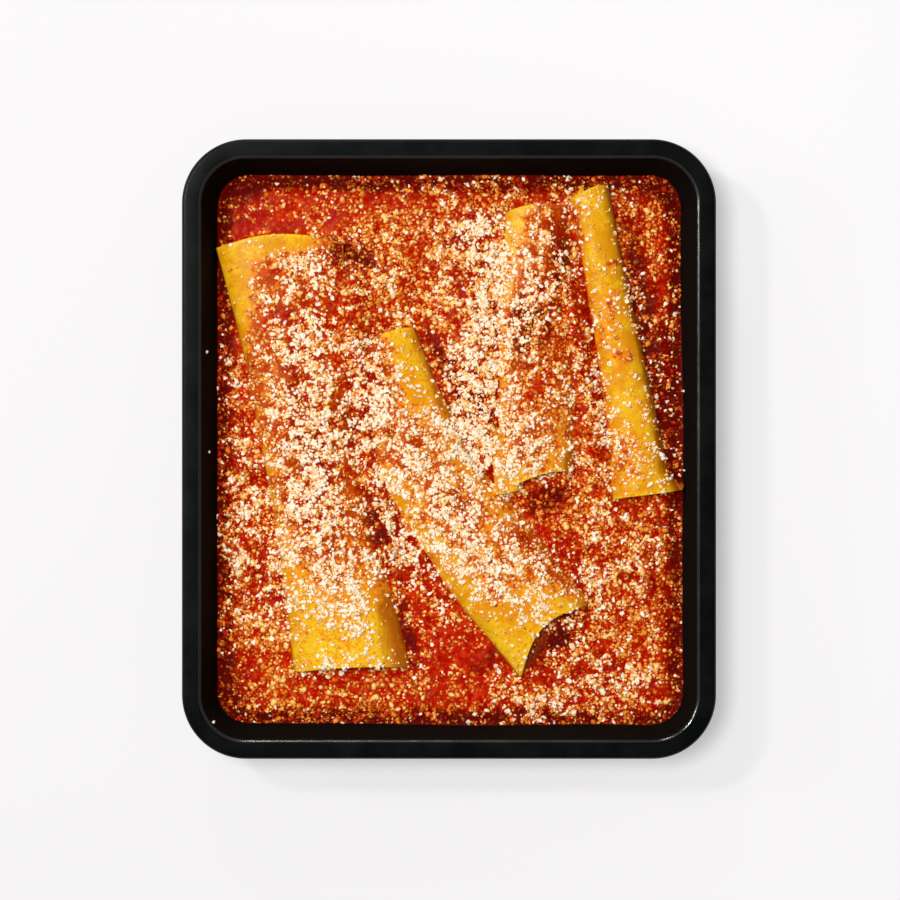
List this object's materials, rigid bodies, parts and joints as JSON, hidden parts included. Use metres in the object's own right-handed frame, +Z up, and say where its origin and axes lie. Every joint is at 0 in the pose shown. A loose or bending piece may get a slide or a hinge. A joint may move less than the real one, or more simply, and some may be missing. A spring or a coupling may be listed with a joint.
{
  "type": "cannelloni in a baking tray",
  "caption": "Filled pasta tubes baked in tomato sauce under grated hard cheese, in a black rectangular baking tray with rounded corners and a flat rim.",
  "frame": {"origin": "middle of the tray's underside, on the surface it stands on", "axes": "+Z up; +Y along the tray's longer side, towards the end where the pasta tubes start; +X across the tray, to the right when looking down with +Y ahead"},
  "size_m": [0.2, 0.232, 0.04],
  "materials": {
    "tray_coating": "matte black non-stick coating on pressed sheet steel",
    "tomato_sauce": "wet, glossy, uneven tomato sauce",
    "egg_pasta": "smooth cooked egg pasta with a soft wet sheen",
    "meat_filling": "coarse meat and tomato filling",
    "grated_cheese": "dry grated hard cheese, creamy white",
    "melted_cheese": "cheese soaked and half melted into the sauce"
  },
  "bodies": {
    "root": {"tray": "tray_coating", "sauce": "tomato_sauce", "pasta_left": "egg_pasta", "pasta_centre": "egg_pasta", "pasta_upper": "egg_pasta", "pasta_right": "egg_pasta", "filling_left": "meat_filling", "filling_centre": "meat_filling", "filling_upper": "meat_filling", "filling_right": "meat_filling"}
  },
  "joints": []
}
